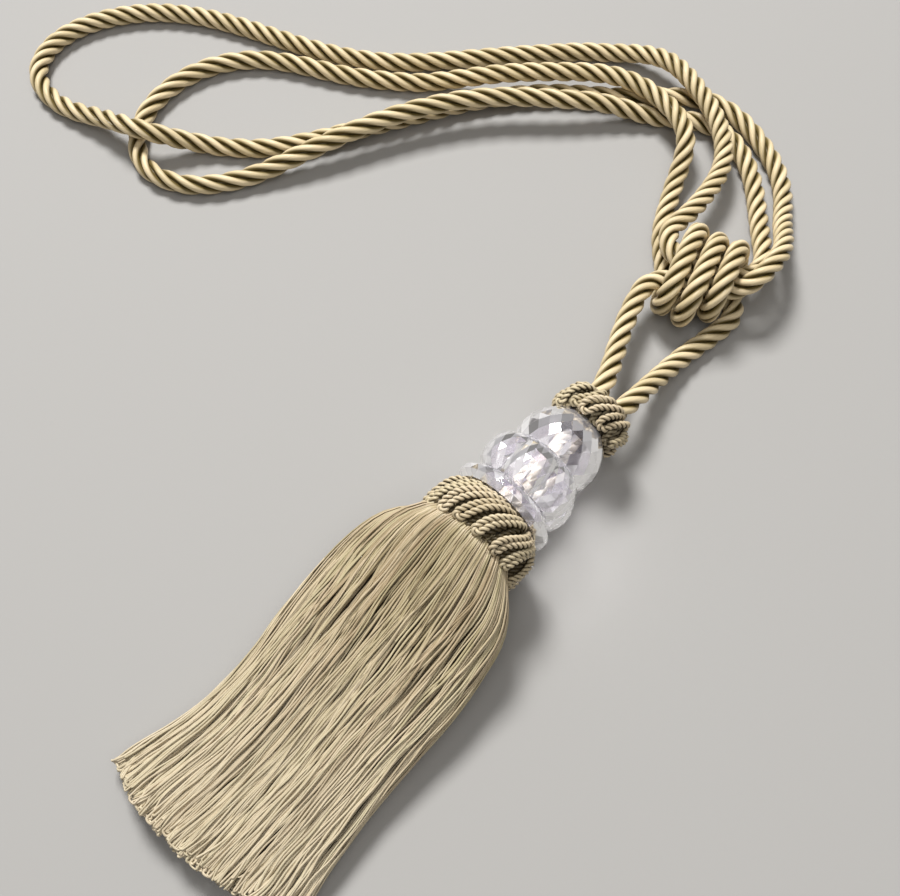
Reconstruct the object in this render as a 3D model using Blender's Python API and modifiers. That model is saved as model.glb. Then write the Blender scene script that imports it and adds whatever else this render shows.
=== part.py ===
"""Curtain tieback tassel: a yarn skirt under a wound collar, three clear beads, a small
rosette, and one long twisted rope whose two ends go down into the rosette. The rope makes
a knot with three wraps close above the head and lies beyond it in two long loops.

Metres, +Z up. The tassel lies on a surface at z = 0 with its skirt along +Y, hem at -Y and
head at +Y. The origin is under the middle of the tassel, on that surface.
"""

import math

import bmesh
import bpy
import numpy as np

MM = 0.001
GAP = 0.3                  # clearance kept between pieces that touch, in mm

# ---- Driving dimensions, in millimetres ----

AXIS_Z = 22.7              # height of the head's axis at the collar
HEAD_X, HEAD_Y = 1.5, 31.0   # where the head's axis leaves the skirt
HEAD_TURN = 1.5            # degrees that the head bends aside from the skirt, towards +X
HEAD_DROOP = 2.0           # degrees that the head sinks towards its rope end

CORE_R = 6.5               # doubled rope end that runs through the beads
BORE_R = CORE_R + GAP
COLLAR_END = 16.0          # stations along the head's axis, from the collar's mouth
BASE_END = 23.3
FLOWER_END = 41.4
TOP_END = 61.0
ROSETTE_END = 72.5
NECK_DEPTH = 12.0          # how far the skirt's neck goes up inside the collar

COLLAR_TURNS, COLLAR_GROOVE, COLLAR_SLANT = 30, 0.9, 0.02
BASE_R = 20.0
FLOWER_R, FLOWER_NOTCH_R, FLOWER_END_R, PETALS = 20.0, 15.0, 12.4, 6
TOP_R, TOP_BASE_R, TOP_END_R, TOP_FACETS = 16.3, 14.6, 10.8, 20
ROSETTE_TURNS, ROSETTE_GROOVE, ROSETTE_SLANT = 16, 1.5, 0.05

HEM_Y = -104.0             # the hem's furthest point
HEM_HALF_W = 39.5
HEM_CURVE = 8.5            # how much shorter the skirt is at its two sides
HEM_TILT = 2.2             # and by how much more at +X, and less at -X
BUNDLES = 24               # yarn bundles around the skirt
TOOTH = 5.0                # depth of the comb of bundle ends along the hem
FLARE_Y = -65.0            # where the skirt starts to flare towards its hem

ROPE_D = 8.0
ROPE_R = ROPE_D / 2
RECESS_R, RECESS_DEPTH = 8.9, 4.0     # the rosette's hollow that takes both rope ends
ROPE_READ = 0.25           # step at which the rope's smooth curve is read
ROPE_STEP = 22.0           # tube length between two points where the rope runs straight
BEND_WEIGHT = 36.0         # length that each radian of bend counts for in that step

# Skirt sections: y, middle x, half width, top z, bottom z (below 0 gives the flat underside),
# squareness of the section (2 is an ellipse), depth of the valleys between bundles, and how
# far the section is turned square to the head's axis (1) rather than to Y (0).
SKIRT_COLUMNS = ("y", "x", "half_w", "top", "bottom", "square", "valley", "to_head")
SKIRT_SECTIONS = (
    (42.5, 1.8, 16.3, 38.6, 6.0, 2.0, 0.0, 1.0),
    (37.0, 1.6, 17.3, 39.8, 5.2, 2.0, 0.0, 1.0),
    (31.2, 1.5, 18.6, 41.3, 4.1, 2.0, 0.0, 1.0),
    (29.6, 1.5, 20.2, 42.4, 2.6, 2.0, 0.3, 1.0),
    (25.0, 1.0, 25.1, 40.4, 0.8, 2.05, 0.8, 0.6),
    (17.0, 1.1, 30.2, 36.6, -0.6, 2.1, 1.0, 0.2),
    (6.0, 1.1, 32.9, 31.0, -1.4, 2.15, 1.1, 0.0),
    (-9.0, 1.5, 33.8, 26.6, -1.8, 2.2, 1.2, 0.0),
    (-27.0, 1.9, 33.5, 23.0, -2.0, 2.25, 1.2, 0.0),
    (-47.0, 2.4, 32.7, 20.0, -2.0, 2.3, 1.2, 0.0),
    (-65.0, 2.4, 33.5, 17.8, -2.0, 2.35, 1.3, 0.0),
    (-81.0, 1.4, 35.5, 16.0, -2.0, 2.4, 1.5, 0.0),
    (-92.0, 0.6, 37.7, 14.8, -2.0, 2.45, 1.9, 0.0),
    (HEM_Y, -0.2, HEM_HALF_W, 13.6, -2.0, 2.5, 2.6, 0.0),
)

# ---- The rope's route, in millimetres ----
# It leaves the rosette as the left leg, runs through the knot, goes out as the long outer
# loop, comes back through the knot, goes out again as the inner loop, winds three times
# round its own two strands, and returns to the rosette as the right leg. Where it crosses
# over itself it rises one diameter, from ROPE_R to a little over three ROPE_R.
LEFT_LEG = (
    (-0.9, 100.2, 20.3), (-0.6, 105.5, 20.2), (-2, 113, 19.2), (-6.2, 124.2, 16),
    (-11.7, 137.2, 13.6), (-16.2, 151, 13), (-16.7, 161, 13.6),
)
OUTER_LOOP = (
    (14.2, 184, 19.8), (15.2, 191.5, 20.6), (14.5, 201, 19), (10.9, 210.2, 14.6),
    (5.5, 219.6, 9), (-4.5, 236, 4), (-28.5, 252, 4), (-52.5, 255, 4), (-80.5, 235, 4),
    (-105.5, 216, 4), (-128.5, 191, 4), (-144.5, 166, 4), (-160.5, 140, 4), (-182.5, 111, 4),
    (-198.5, 99, 5), (-219.5, 83, 13), (-238.5, 79, 8), (-260.5, 74, 4), (-279.5, 79, 4),
    (-286.5, 93, 4), (-280.5, 118, 4), (-260.5, 140, 4), (-230.5, 155, 4), (-199.5, 166, 4),
    (-170.5, 182, 4), (-147.5, 204, 4), (-122.5, 230, 4), (-98.5, 250, 5), (-78.5, 255, 11),
    (-59.5, 250, 12.7), (-41.5, 240.4, 12.5), (-28.2, 223.9, 12.3), (-25.3, 210, 12.5),
    (-25, 195, 13), (-24.5, 183.5, 13.2),
)
INNER_LOOP = (
    (9.3, 188, 13), (10.9, 195.8, 12), (6, 205.2, 9), (-1.3, 214.6, 6),
    (-10, 225.4, 4), (-23.5, 238, 4), (-43.5, 245, 4), (-65.5, 234, 4), (-86.5, 220, 9.5),
    (-99.5, 209, 11.5), (-120.5, 191, 12.5), (-137.5, 170, 12.5), (-148.5, 151, 11.8),
    (-156.5, 134, 10.3), (-164.5, 117, 7.5), (-173.5, 100, 4.3), (-192.5, 79, 4), (-211.5, 76, 4),
    (-226.5, 89, 4), (-231.5, 107, 4), (-227.5, 128, 4), (-212.5, 147, 4), (-182.5, 163, 4),
    (-153.5, 182, 4), (-130.5, 202, 9), (-108.5, 220.5, 11.3), (-86.7, 233.9, 12.4), (-63.6, 234.9, 12.7),
    (-47.8, 226.2, 12.5), (-40, 210.1, 5), (-36.5, 201.9, 4), (-32, 192, 4),
    (-25.5, 182.5, 4),
)
RIGHT_LEG = (
    (13.7, 176, 4), (13.7, 167, 4), (11.6, 156, 4), (9.9, 144, 5.8), (9.6, 134, 9),
    (9.7, 125, 13), (9.9, 116.5, 17), (9.1, 107, 19.8), (7.7, 99.9, 20.3),
)

# The knot: its middle, the direction of its two inner strands and that of its wraps.
KNOT = np.array((-2.5, 177.5, 13.8))
KNOT_TURN, WRAP_TURN = math.radians(37.0), math.radians(110.0)
KNOT_ALONG = np.array((math.cos(KNOT_TURN), math.sin(KNOT_TURN), 0.0))
KNOT_ACROSS = np.array((-math.sin(KNOT_TURN), math.cos(KNOT_TURN), 0.0))
WRAP_ACROSS = np.array((math.cos(WRAP_TURN), math.sin(WRAP_TURN), 0.0))
UP = np.array((0.0, 0.0, 1.0))
# Three places on the two inner strands: distance along the knot, the pair's middle across
# it, half the distance between the two, and how much one lies above the middle height
# and the other below.
STRAND_PLACES = ((-9.0, 1.2, 4.7, 0.2), (0.0, -0.4, 4.3, 0.8), (9.0, -2.2, 4.15, 1.2))
# The wraps swing from side to side between these places: distance across, along. They
# start and end half way between two of them, on the surface under the knot.
WRAP_SIDES = (
    (14.0, -16.8), (-13.2, -12.2), (18.4, -7.6), (-18.4, -3.2), (14.2, 1.3),
    (-15.2, 6.2), (10.9, 9.9), (-13.0, 15.4),
)
WRAP_HALF_H, WRAP_SQUARE, HALF_WRAP_POINTS = 9.8, 0.8, 6

# ---- Colours: base colour, roughness ----
YARN = ((0.56, 0.46, 0.29), 0.62)
ROPE_YARN = ((0.50, 0.40, 0.25), 0.5)
CLEAR = ((0.78, 0.75, 0.77), 0.08)


def reset():
    """Removes what the file starts with."""
    for item in list(bpy.data.objects):
        bpy.data.objects.remove(item, do_unlink=True)


def material(name, look):
    """A plain Principled material."""
    made = bpy.data.materials.new(name)
    made.use_nodes = True
    shader = made.node_tree.nodes["Principled BSDF"]
    shader.inputs["Base Color"].default_value = (*look[0], 1.0)
    shader.inputs["Roughness"].default_value = look[1]
    shader.inputs["Metallic"].default_value = 0.0
    return made


def new_object(name, data, collection, look, parent=None):
    """Links one named sub-part with its own material."""
    item = bpy.data.objects.new(name, data)
    collection.objects.link(item)
    item.data.materials.append(material(name, look))
    item.parent = parent
    return item


def smooth(mesh, angle=40.0):
    """Smooth shading that keeps edges sharper than the angle, in degrees."""
    mesh.shade_smooth()
    mesh.set_sharp_from_angle(angle=math.radians(angle))


def grid_mesh(name, points, close_rows):
    """A mesh over a grid of points (rows, columns, 3), in mm, its columns closed in a ring.

    With close_rows the last row joins the first. Otherwise each end row is filled by a fan
    to a point at that row's middle.
    """
    rows, columns = points.shape[:2]
    vertices = [tuple(p) for p in points.reshape(-1, 3) * MM]
    faces = []
    for row in range(rows if close_rows else rows - 1):
        here, there = row * columns, (row + 1) % rows * columns
        for column in range(columns):
            right = (column + 1) % columns
            faces.append((here + column, here + right, there + right, there + column))
    if not close_rows:
        for row, turn in ((0, 1), (rows - 1, -1)):
            middle = len(vertices)
            vertices.append(tuple(points[row].mean(axis=0) * MM))
            for column in range(columns):
                edge = (row * columns + column, row * columns + (column + 1) % columns)
                faces.append((middle, *edge[::-turn]))
    mesh = bpy.data.meshes.new(name)
    mesh.from_pydata(vertices, [], faces)
    work = bmesh.new()
    work.from_mesh(mesh)
    bmesh.ops.recalc_face_normals(work, faces=work.faces)
    bmesh.ops.triangulate(work, faces=work.faces)
    work.to_mesh(mesh)
    work.free()
    smooth(mesh)
    return mesh


def superellipse(turn, half_w, half_h, square):
    """Points of a superellipse: each of cos and sin to the power 2 / square, signs kept."""
    power = 2.0 / square
    cosine, sine = np.cos(turn), np.sin(turn)
    side = half_w * np.sign(cosine) * np.abs(cosine) ** power
    height = half_h * np.sign(sine) * np.abs(sine) ** power
    return side, height


def even_turns(count, half_w, half_h, square):
    """Angles that space the points of a superellipse evenly along its outline."""
    fine = np.linspace(0.0, 2 * math.pi, 40 * count + 1)
    side, height = superellipse(fine, half_w, half_h, square)
    walked = np.concatenate(([0.0], np.cumsum(np.hypot(np.diff(side), np.diff(height)))))
    return np.interp(np.arange(count) / count * walked[-1], walked, fine)


def skirt(collection):
    """The yarn skirt: a loft from its round neck to its flat, wide hem.

    Each section is a superellipse cut off flat at z = 0. Valleys between the bundles of
    yarn run down its upper side, swaying a little, and deepen to a comb at the hem.
    """
    columns = 4 * BUNDLES
    around = 2 * math.pi * np.arange(columns) / columns
    rows = []
    for number, values in enumerate(SKIRT_SECTIONS):
        row = dict(zip(SKIRT_COLUMNS, values))
        middle, half_h = (row["top"] + row["bottom"]) / 2, (row["top"] - row["bottom"]) / 2
        turn = even_turns(columns, row["half_w"], half_h, row["square"])
        upper = np.clip(np.sin(turn) * 1.6 + 0.35, 0.0, 1.0)
        sway = 0.35 * math.sin(1.3 * number) + 0.25 * np.sin(3 * around + 0.6 * number)
        hollow = upper * (1.0 - (0.5 - 0.5 * np.cos(BUNDLES * around + sway)) ** 0.6)
        inset = row["valley"] * hollow
        side, rise = superellipse(turn, row["half_w"] - inset, half_h - inset, row["square"])
        flare = np.clip((row["y"] - FLARE_Y) / (HEM_Y - FLARE_Y), 0.0, 1.0)
        aside = side / HEM_HALF_W
        y = row["y"] + flare * (HEM_CURVE * aside ** 2 + HEM_TILT * aside)
        y = y - row["to_head"] * math.tan(math.radians(HEAD_TURN)) * side
        y = y + row["to_head"] * math.tan(math.radians(HEAD_DROOP)) * rise
        if row["y"] == HEM_Y:
            y = y + TOOTH * hollow * (1.0 + 0.3 * np.sin(5 * around))
        rows.append(np.stack((row["x"] + side, y, np.maximum(middle + rise, 0.0)), axis=-1))
    mesh = grid_mesh("skirt", np.array(rows), close_rows=False)
    return new_object("skirt", mesh, collection, YARN)


def head_axis(collection):
    """The empty that carries the head: its local Z runs along the head, its Y points down."""
    axis = bpy.data.objects.new("head_axis", None)
    collection.objects.link(axis)
    axis.location = (HEAD_X * MM, HEAD_Y * MM, AXIS_Z * MM)
    axis.rotation_euler = (math.radians(-90.0 - HEAD_DROOP), 0.0, math.radians(-HEAD_TURN))
    return axis


def ring(name, profile, lobes, depth, slant, per_lobe, collection, look, axis, pinch=1.0):
    """A closed ring about the head's axis with lobes or windings round its outside.

    The profile lists (radius, station, share), share being how much of the lobes' depth
    that point takes. At angle a and station s the radius is the profile's radius less
    depth * share * (1 - |cos(lobes / 2 * (a - slant * s))| ** pinch), and the side that
    meets the surface is cut off flat there.
    """
    count = lobes * per_lobe
    angle = 2 * math.pi * np.arange(count) / count
    rows = []
    for radius, station, share in profile:
        wave = np.abs(np.cos(lobes / 2 * (angle - slant * (station - profile[0][1]))))
        reach = radius - depth * share * (1.0 - wave ** pinch)
        surface = AXIS_Z - station * math.sin(math.radians(HEAD_DROOP))
        down = np.minimum(reach * np.sin(angle), surface)
        rows.append(np.stack((reach * np.cos(angle), down, np.full(count, station)), axis=-1))
    mesh = grid_mesh(name, np.array(rows), close_rows=True)
    return new_object(name, mesh, collection, look, axis)


def turned(name, profile, steps, collection, look, axis):
    """A turned ring: a closed profile of (radius, station) with a Screw modifier."""
    work = bmesh.new()
    corners = [work.verts.new((radius * MM, 0.0, station * MM)) for radius, station in profile]
    for here, there in zip(corners, corners[1:] + corners[:1]):
        work.edges.new((here, there))
    mesh = bpy.data.meshes.new(name)
    work.to_mesh(mesh)
    work.free()
    item = new_object(name, mesh, collection, look, axis)
    screw = item.modifiers.new("turn", "SCREW")
    screw.axis = "Z"
    screw.steps = steps
    screw.render_steps = steps
    screw.use_merge_vertices = True
    screw.merge_threshold = 0.00001
    return item


def collar(collection, axis):
    """The ring wound with fine cord, with a recess below for the skirt's neck."""
    profile = [
        (19.2, 0.0, 0.0), (20.3, 0.0, 0.3), (21.4, 1.3, 1.0), (22.2, 4.3, 1.0),
        (22.3, 7.5, 1.0), (21.8, 10.8, 1.0), (20.6, 13.6, 1.0), (19.1, 15.5, 0.8),
        (17.6, COLLAR_END, 0.2), (BORE_R, COLLAR_END, 0.0), (BORE_R, NECK_DEPTH, 0.0),
        (17.2, NECK_DEPTH, 0.0),
    ]
    winding = (COLLAR_TURNS, COLLAR_GROOVE, COLLAR_SLANT)
    return ring("collar", profile, *winding, 3, collection, YARN, axis)


def bead_base(collection, axis):
    """The lowest bead: a thin faceted disc."""
    start = COLLAR_END + GAP
    profile = [
        (BORE_R, BASE_END), (15.6, BASE_END), (18.8, BASE_END - 1.4), (BASE_R, BASE_END - 3.4),
        (19.2, start + 1.0), (17.4, start), (BORE_R, start),
    ]
    return turned("bead_base", profile, 24, collection, CLEAR, axis)


def bead_flower(collection, axis):
    """The middle bead, whose six round petals stand round the axis."""
    start, end = BASE_END + GAP, FLOWER_END
    middle, half = (start + end) / 2, (end - start) / 2
    profile = []
    for step in range(9):
        lean = math.pi * (step / 8 - 0.5)
        swell = math.cos(lean) ** 0.8
        radius = FLOWER_END_R + (FLOWER_R - FLOWER_END_R) * swell
        profile.append((radius, middle + half * math.sin(lean), 0.15 + 0.85 * swell))
    profile += [(BORE_R, end, 0.0), (BORE_R, start, 0.0)]
    depth = FLOWER_R - FLOWER_NOTCH_R
    return ring("bead_flower", profile, PETALS, depth, 0.0, 8, collection, CLEAR, axis, 0.75)


def bead_top(collection, axis):
    """The upper bead: a barrel cut with long facets."""
    start, end = FLOWER_END + GAP, TOP_END
    length = end - start
    profile = [
        (BORE_R, end), (TOP_END_R - 1.0, end), (TOP_END_R + 1.2, end - 1.6),
        (TOP_R - 1.3, end - 0.36 * length), (TOP_R, start + 0.42 * length),
        (TOP_R - 0.5, start + 0.2 * length), (TOP_BASE_R, start + 1.4),
        (TOP_BASE_R - 2.2, start), (BORE_R, start),
    ]
    return turned("bead_top", profile, TOP_FACETS, collection, CLEAR, axis)


def rosette(collection, axis):
    """The small wound ring at the top, with a recess that takes both rope ends."""
    start, end = TOP_END + GAP, ROSETTE_END
    floor = end - RECESS_DEPTH
    profile = [
        (BORE_R, start, 0.0), (11.0, start, 0.2), (13.2, start + 1.3, 1.0),
        (14.4, start + 3.8, 1.0), (14.3, start + 6.4, 1.0), (13.1, end - 2.2, 1.0),
        (11.6, end - 0.4, 0.8), (10.4, end, 0.3), (RECESS_R, end - 0.6, 0.0),
        (RECESS_R, floor, 0.0), (BORE_R, floor, 0.0),
    ]
    winding = (ROSETTE_TURNS, ROSETTE_GROOVE, ROSETTE_SLANT)
    return ring("rosette", profile, *winding, 4, collection, YARN, axis)


def core(collection, axis):
    """The doubled rope end that the beads are threaded on, seen through them."""
    start, end = NECK_DEPTH, ROSETTE_END - RECESS_DEPTH - GAP
    work = bmesh.new()
    bmesh.ops.create_cone(
        work, cap_ends=True, segments=24, radius1=CORE_R * MM, radius2=CORE_R * MM,
        depth=(end - start) * MM,
    )
    mesh = bpy.data.meshes.new("core")
    work.to_mesh(mesh)
    work.free()
    smooth(mesh)
    item = new_object("core", mesh, collection, ROPE_YARN, axis)
    item.location = (0.0, 0.0, (start + end) / 2 * MM)
    return item


def knot_strand(side):
    """Three points of one inner strand of the knot, on the side given by -1 or 1."""
    points = []
    for along, middle, apart, rise in STRAND_PLACES:
        across = middle + side * apart
        points.append(KNOT + along * KNOT_ALONG + across * KNOT_ACROSS - side * rise * UP)
    return points


def wraps():
    """The knot's wraps: a flattened helix round the two inner strands, from floor to floor.

    Over each half turn, from one of WRAP_SIDES to the next, the distance along grows
    evenly, the distance across follows a cosine to the power WRAP_SQUARE, and the height
    such a sine, over the strands and under them in turn.
    """
    sides = np.array(WRAP_SIDES)
    steps = (len(sides) - 2) * HALF_WRAP_POINTS
    turned_by = 0.5 + np.arange(steps + 1) / HALF_WRAP_POINTS
    half = np.minimum(turned_by.astype(int), len(sides) - 2)
    share = turned_by - half
    here, there = sides[half], sides[half + 1]
    cosine, sine = np.cos(math.pi * share), np.sin(math.pi * share)
    swing = np.sign(cosine) * np.abs(cosine) ** WRAP_SQUARE
    across = (here[:, 0] + there[:, 0]) / 2 + (here[:, 0] - there[:, 0]) / 2 * swing
    along = here[:, 1] + (there[:, 1] - here[:, 1]) * share
    up = -WRAP_HALF_H * (-1.0) ** half * np.abs(sine) ** WRAP_SQUARE
    return list(KNOT + np.outer(along, KNOT_ALONG) + np.outer(across, WRAP_ACROSS)
                + np.outer(up, UP))


def smooth_curve(points, step):
    """Reads a natural cubic spline through the points every step mm.

    The spline's second derivatives solve the usual tridiagonal system, with chord lengths
    as its parameter. Returns the samples and the parameter of each route point.
    """
    spans = np.linalg.norm(np.diff(points, axis=0), axis=1)
    knots = np.concatenate(([0.0], np.cumsum(spans)))
    size = len(points)
    system, right = np.eye(size), np.zeros((size, 3))
    for i in range(1, size - 1):
        system[i, i - 1:i + 2] = spans[i - 1], 2 * (spans[i - 1] + spans[i]), spans[i]
        right[i] = 6 * ((points[i + 1] - points[i]) / spans[i]
                        - (points[i] - points[i - 1]) / spans[i - 1])
    bend = np.linalg.solve(system, right)
    at = np.arange(0.0, knots[-1], step)
    span = np.clip(np.searchsorted(knots, at, side="right") - 1, 0, size - 2)
    width = spans[span][:, None]
    after = (at - knots[span])[:, None]
    before = width - after
    samples = (bend[span] * before ** 3 + bend[span + 1] * after ** 3) / (6 * width)
    samples += (points[span] / width - bend[span] * width / 6) * before
    samples += (points[span + 1] / width - bend[span + 1] * width / 6) * after
    samples[:, 2] = np.maximum(samples[:, 2], ROPE_R)
    return samples, at, knots


def rope(collection):
    """The rope's solids: one tube for each stretch, meeting its neighbour with a small gap.

    A tube's points lie closer together where the route bends: each step uses up ROPE_STEP
    of length plus BEND_WEIGHT for each radian turned.
    """
    stretches = (
        ("rope_leg_left", list(LEFT_LEG)),
        ("rope_outer_loop", knot_strand(-1) + list(OUTER_LOOP)),
        ("rope_inner_loop", knot_strand(1) + list(INNER_LOOP)),
        ("rope_knot", wraps()),
        ("rope_leg_right", list(RIGHT_LEG)),
    )
    route = np.array([point for _, points in stretches for point in points], dtype=float)
    samples, at, knots = smooth_curve(route, ROPE_READ)
    first = 0
    for number, (name, points) in enumerate(stretches):
        start = knots[first] + (GAP / 2 if number else 0.0)
        first += len(points)
        last = number == len(stretches) - 1
        end = knots[-1] if last else knots[first] - GAP / 2
        tube(name, samples[(at >= start) & (at <= end)], collection)


def tube(name, line, collection):
    """One stretch of rope as a POLY curve with a round bevel and filled caps.

    A point just inside each end keeps the caps square to the route, so that two stretches
    meet face to face.
    """
    steps = np.diff(line, axis=0)
    lengths = np.linalg.norm(steps, axis=1)
    heading = steps / lengths[:, None]
    turned_by = np.arccos(np.clip((heading[1:] * heading[:-1]).sum(axis=1), -1.0, 1.0))
    used = np.cumsum(lengths + BEND_WEIGHT * np.concatenate(([0.0], turned_by)))
    count = max(2, round(used[-1] / ROPE_STEP))
    share = np.concatenate(([0.0, 0.1], np.arange(1, count), [count - 0.1, count])) / count
    picks = np.searchsorted(used, used[-1] * share)
    chosen = line[np.minimum(picks, len(line) - 1)]
    curve = bpy.data.curves.new(name, "CURVE")
    curve.dimensions = "3D"
    curve.bevel_depth = ROPE_R * MM
    curve.bevel_resolution = 2
    curve.use_fill_caps = True
    spline = curve.splines.new("POLY")
    spline.points.add(len(chosen) - 1)
    for point, place in zip(spline.points, chosen):
        point.co = (*(place * MM), 1.0)
    spline.use_smooth = True
    return new_object(name, curve, collection, ROPE_YARN)


def build():
    reset()
    parts = bpy.data.collections.new("tieback_tassel")
    bpy.context.scene.collection.children.link(parts)
    axis = head_axis(parts)
    skirt(parts)
    collar(parts, axis)
    bead_base(parts, axis)
    bead_flower(parts, axis)
    bead_top(parts, axis)
    rosette(parts, axis)
    core(parts, axis)
    rope(parts)


build()
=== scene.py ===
"""Looks of the curtain tieback tassel: a skirt of fine yarns under a ring wound with twisted
cord, three clear beads on the rope's doubled end, a small looped rosette, and a knotted
four-strand rope that lies in two long loops.

Lengths in the tables are in millimetres, and MM turns them into the frame's metres.
"""

import math

import bpy
import numpy as np
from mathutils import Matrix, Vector


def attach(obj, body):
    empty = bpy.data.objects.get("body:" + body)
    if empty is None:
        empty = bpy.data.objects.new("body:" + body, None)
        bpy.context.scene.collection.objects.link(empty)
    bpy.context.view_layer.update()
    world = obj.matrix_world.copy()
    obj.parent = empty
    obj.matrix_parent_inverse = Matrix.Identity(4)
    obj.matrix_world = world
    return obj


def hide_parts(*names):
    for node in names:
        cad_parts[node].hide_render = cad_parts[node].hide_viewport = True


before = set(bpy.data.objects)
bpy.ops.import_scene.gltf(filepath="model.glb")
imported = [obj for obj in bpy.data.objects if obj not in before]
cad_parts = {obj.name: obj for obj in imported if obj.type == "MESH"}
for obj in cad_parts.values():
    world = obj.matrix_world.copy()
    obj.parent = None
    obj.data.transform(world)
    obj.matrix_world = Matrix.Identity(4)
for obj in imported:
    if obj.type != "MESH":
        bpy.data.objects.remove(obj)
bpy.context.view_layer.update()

MM = 0.001
TAU = 2.0 * math.pi
FIBRE_HEIGHT = 0.2 * MM    # how far a yarn's fibres stand up
UP = np.array((0.0, 0.0, 1.0))

# ---- Camera: looks down on the tassel from beside its skirt ----
AIM = np.array((-33.0, 63.0, 0.0)) * MM
AZIMUTH, ELEVATION = math.radians(41.0), math.radians(65.5)
DISTANCE = 0.465
LENS, SENSOR = 50.0, 36.0

# ---- Lights: place in metres, width of the square, power. The room is dim and a little warm. ----
KEY_LAMP = ((-1.6, 1.0, 2.6), 0.9, 130.0)
OVERHEAD_LAMP = ((0.25, -0.1, 1.2), 0.9, 4.4)
ROOM_COLOUR, ROOM_LIGHT = (1.0, 0.97, 0.93, 1.0), 0.22
FLOOR_HALF, FLOOR_COLOUR = 3.0, (0.365, 0.355, 0.34, 1.0)

# ---- The rope's route, as in the model's own source ----
ROPE_D = 8.0
ROPE_R = ROPE_D / 2
LEFT_LEG = (
    (-0.9, 100.2, 20.3), (-0.6, 105.5, 20.2), (-2, 113, 19.2), (-6.2, 124.2, 16),
    (-11.7, 137.2, 13.6), (-16.2, 151, 13), (-16.7, 161, 13.6),
)
OUTER_LOOP = (
    (14.2, 184, 19.8), (15.2, 191.5, 20.6), (14.5, 201, 19), (10.9, 210.2, 14.6),
    (5.5, 219.6, 9), (-4.5, 236, 4), (-28.5, 252, 4), (-52.5, 255, 4), (-80.5, 235, 4),
    (-105.5, 216, 4), (-128.5, 191, 4), (-144.5, 166, 4), (-160.5, 140, 4), (-182.5, 111, 4),
    (-198.5, 99, 5), (-219.5, 83, 13), (-238.5, 79, 8), (-260.5, 74, 4), (-279.5, 79, 4),
    (-286.5, 93, 4), (-280.5, 118, 4), (-260.5, 140, 4), (-230.5, 155, 4), (-199.5, 166, 4),
    (-170.5, 182, 4), (-147.5, 204, 4), (-122.5, 230, 4), (-98.5, 250, 5), (-78.5, 255, 11),
    (-59.5, 250, 12.7), (-41.5, 240.4, 12.5), (-28.2, 223.9, 12.3), (-25.3, 210, 12.5),
    (-25, 195, 13), (-24.5, 183.5, 13.2),
)
INNER_LOOP = (
    (9.3, 188, 13), (10.9, 195.8, 12), (6, 205.2, 9), (-1.3, 214.6, 6),
    (-10, 225.4, 4), (-23.5, 238, 4), (-43.5, 245, 4), (-65.5, 234, 4), (-86.5, 220, 9.5),
    (-99.5, 209, 11.5), (-120.5, 191, 12.5), (-137.5, 170, 12.5), (-148.5, 151, 11.8),
    (-156.5, 134, 10.3), (-164.5, 117, 7.5), (-173.5, 100, 4.3), (-192.5, 79, 4), (-211.5, 76, 4),
    (-226.5, 89, 4), (-231.5, 107, 4), (-227.5, 128, 4), (-212.5, 147, 4), (-182.5, 163, 4),
    (-153.5, 182, 4), (-130.5, 202, 9), (-108.5, 220.5, 11.3), (-86.7, 233.9, 12.4),
    (-63.6, 234.9, 12.7), (-47.8, 226.2, 12.5), (-40, 210.1, 5), (-36.5, 201.9, 4), (-32, 192, 4),
    (-25.5, 182.5, 4),
)
RIGHT_LEG = (
    (13.7, 176, 4), (13.7, 167, 4), (11.6, 156, 4), (9.9, 144, 5.8), (9.6, 134, 9),
    (9.7, 125, 13), (9.9, 116.5, 17), (9.1, 107, 19.8), (7.7, 99.9, 20.3),
)

# The knot: its middle, the direction of its two inner strands and that of its wraps.
KNOT = np.array((-2.5, 177.5, 13.8))
KNOT_TURN, WRAP_TURN = math.radians(37.0), math.radians(110.0)
KNOT_ALONG = np.array((math.cos(KNOT_TURN), math.sin(KNOT_TURN), 0.0))
KNOT_ACROSS = np.array((-math.sin(KNOT_TURN), math.cos(KNOT_TURN), 0.0))
WRAP_ACROSS = np.array((math.cos(WRAP_TURN), math.sin(WRAP_TURN), 0.0))
# Three places on the two inner strands: distance along the knot, the pair's middle across
# it, half the distance between the two, and how much one lies above the middle height
# and the other below.
STRAND_PLACES = ((-9.0, 1.2, 4.7, 0.2), (0.0, -0.4, 4.3, 0.8), (9.0, -2.2, 4.15, 1.2))
# The wraps swing from side to side between these places: distance across, along. They
# start and end half way between two of them, on the surface under the knot.
WRAP_SIDES = (
    (14.0, -16.8), (-13.2, -12.2), (18.4, -7.6), (-18.4, -3.2), (14.2, 1.3),
    (-15.2, 6.2), (10.9, 9.9), (-13.0, 15.4),
)
WRAP_HALF_H, WRAP_SQUARE, HALF_WRAP_POINTS = 9.8, 0.8, 6

# ---- The rope's make ----
ROPE_STRANDS = 4
STRAND_R = 1.47
STRAND_OFFSET = 2.53       # strand centre's distance from the rope's centreline
STRAND_TONES = (0.1, 0.9)  # from the darkest strand to the palest
HEART_R = 1.5              # the yarn in the middle of the four strands, dark with painted shade
ROPE_LAY = np.array((      # distance along the rope, and from one strand to the next there
    (0, 8.0), (80, 7.0), (150, 5.9), (200, 7.6), (280, 8.6), (480, 8.4), (540, 6.4),
    (620, 6.8), (740, 7.8), (820, 6.0), (870, 5.4), (960, 6.6), (1060, 7.0), (1140, 9.2),
    (1440, 8.3), (1550, 6.8), (1620, 6.5), (1900, 6.5), (1990, 8.0),
))
ROPE_READ = 0.25           # length between two points when the route is first read
ROPE_RINGS = 1.0           # length between two rings of the mesh
STRAND_SIDES, HEART_SIDES = 10, 6

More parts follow.
